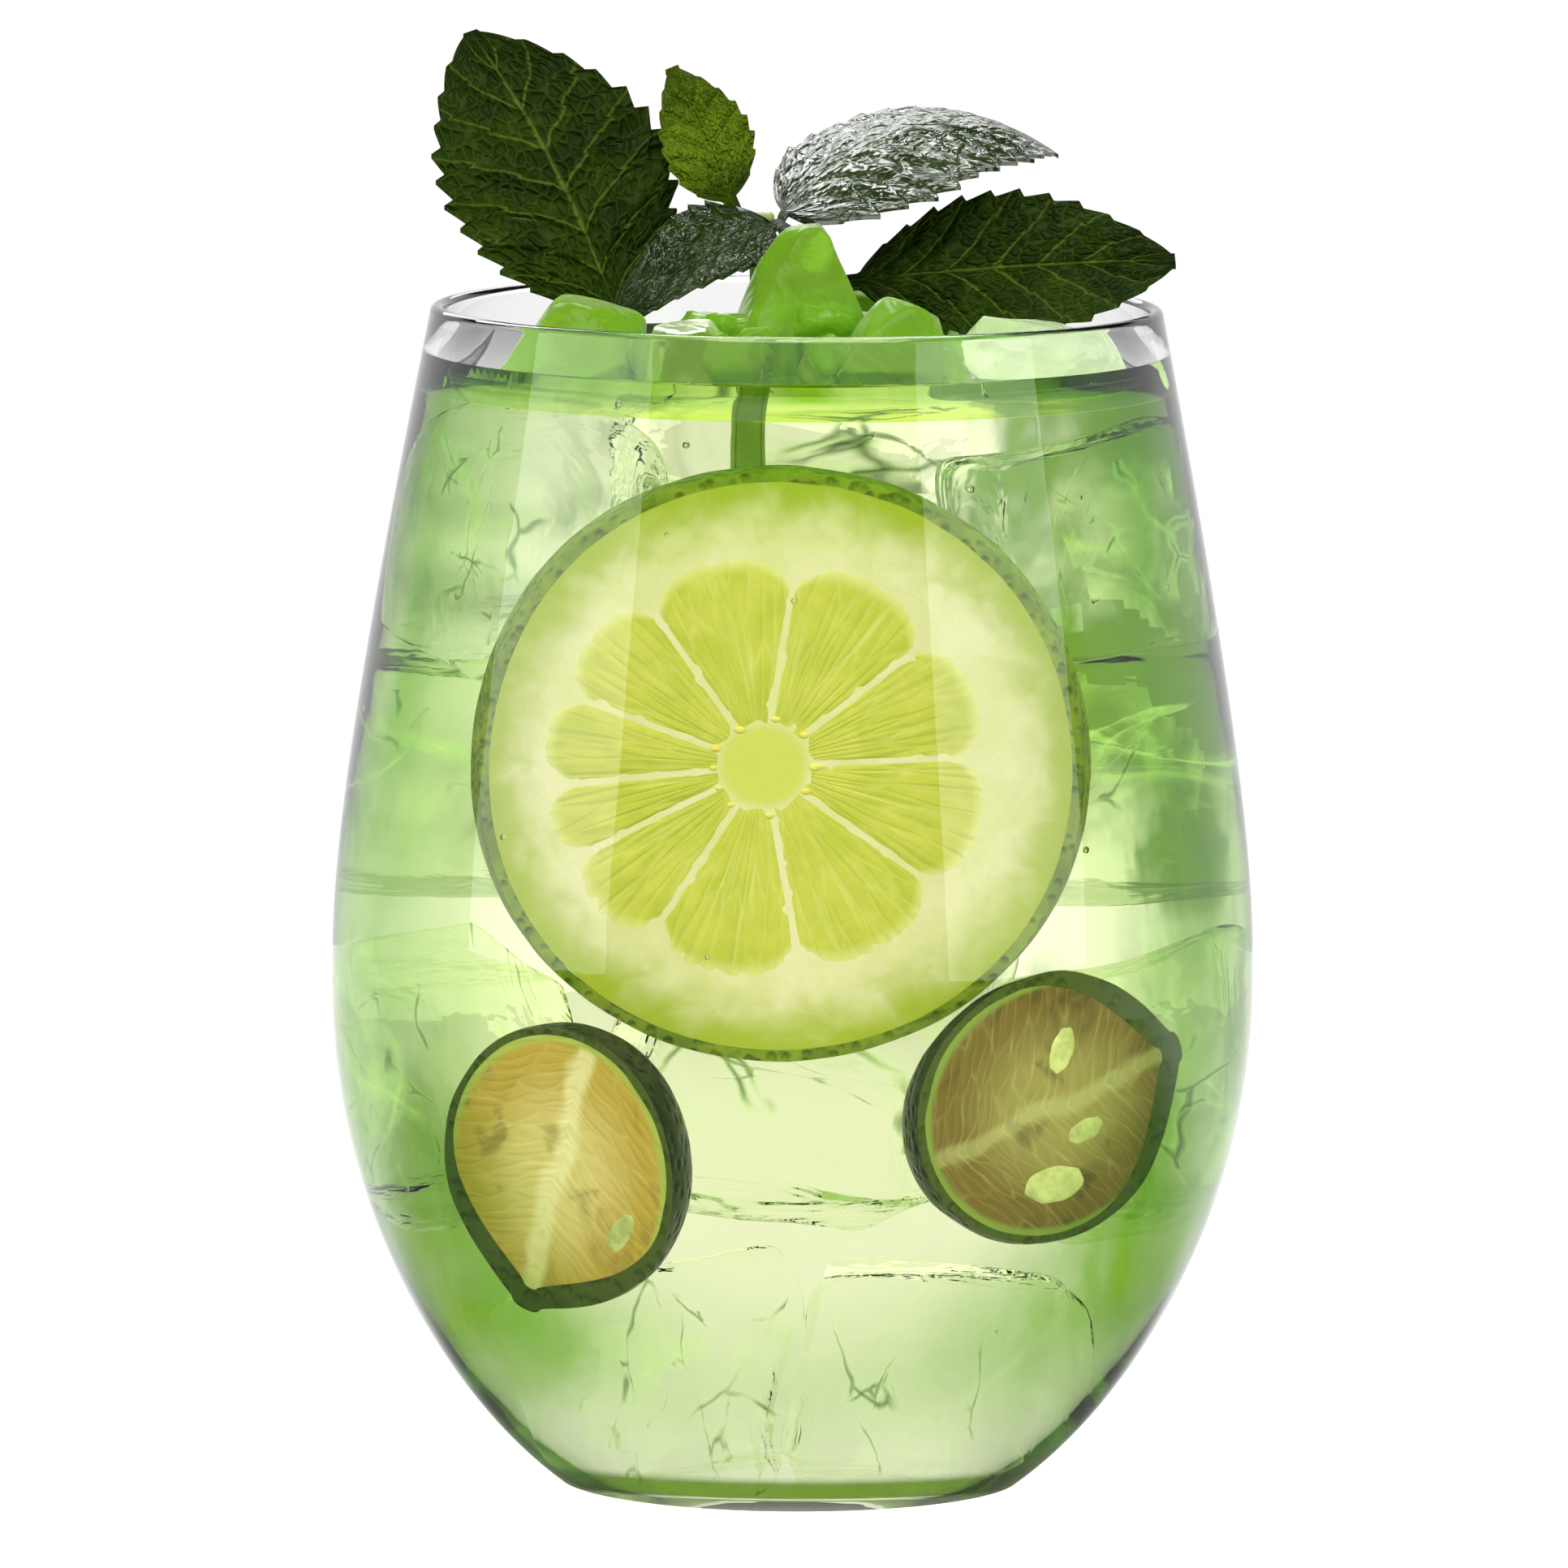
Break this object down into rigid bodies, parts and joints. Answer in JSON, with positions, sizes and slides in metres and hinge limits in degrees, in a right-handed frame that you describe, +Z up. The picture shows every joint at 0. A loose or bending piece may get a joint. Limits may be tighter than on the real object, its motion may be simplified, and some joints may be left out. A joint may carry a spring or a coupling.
{
  "type": "mojito glass",
  "caption": "Stemless round-bellied tumbler of pale green mojito with ice cubes, crushed ice, a lime slice, small lime halves and a mint sprig that lifts out.",
  "frame": {"origin": "centre of the glass at the table", "axes": "+Z up along the glass, -Y towards the viewer of the lime slice"},
  "size_m": [0.092, 0.092, 0.1466],
  "materials": {
    "glass": "clear, fire-polished",
    "drink": "clear pale green liquid",
    "ice": "clear ice tinted by the drink",
    "rind": "waxy green rind",
    "pith": "pale spongy pith",
    "pulp": "wet yellow-green pulp",
    "peel": "dark pitted peel",
    "flesh": "wet olive-brown flesh",
    "seed": "pale green seed",
    "leaf": "dark veined mint leaf",
    "young_leaf": "bright young mint leaf",
    "stem": "square mint stem"
  },
  "bodies": {
    "glass": {"glass_tumbler": "glass", "drink": "drink", "ice_cube_01": "ice", "ice_cube_02": "ice", "ice_cube_03": "ice", "ice_cube_04": "ice", "ice_cube_05": "ice", "ice_cube_06": "ice", "ice_cube_07": "ice", "ice_cube_08": "ice", "ice_cube_09": "ice", "ice_cube_10": "ice", "ice_chip_peak": "ice", "ice_chip_left": "ice", "ice_chip_front": "ice", "ice_chip_right": "ice", "ice_chip_slab": "ice", "ice_chip_back": "ice", "slice_rind": "rind", "slice_pith": "pith", "slice_segment_01": "pulp", "slice_segment_02": "pulp", "slice_segment_03": "pulp", "slice_segment_04": "pulp", "slice_segment_05": "pulp", "slice_segment_06": "pulp", "slice_segment_07": "pulp", "slice_segment_08": "pulp", "slice_segment_09": "pulp", "slice_segment_10": "pulp", "left_half_peel": "peel", "left_half_flesh": "flesh", "left_half_seed_1": "seed", "right_half_peel": "peel", "right_half_flesh": "flesh", "right_half_seed_1": "seed", "right_half_seed_2": "seed", "right_half_seed_3": "seed"},
    "mint_sprig": {"mint_stem": "stem", "mint_leaf_large": "leaf", "mint_leaf_right": "leaf", "mint_leaf_glossy": "leaf", "mint_leaf_small": "leaf", "mint_leaf_tip": "young_leaf"}
  },
  "joints": [
    {"name": "sprig_lift", "type": "slide", "parent": "glass", "child": "mint_sprig", "axis": [0, 0, 1], "range_m": [0, 0.06]}
  ]
}
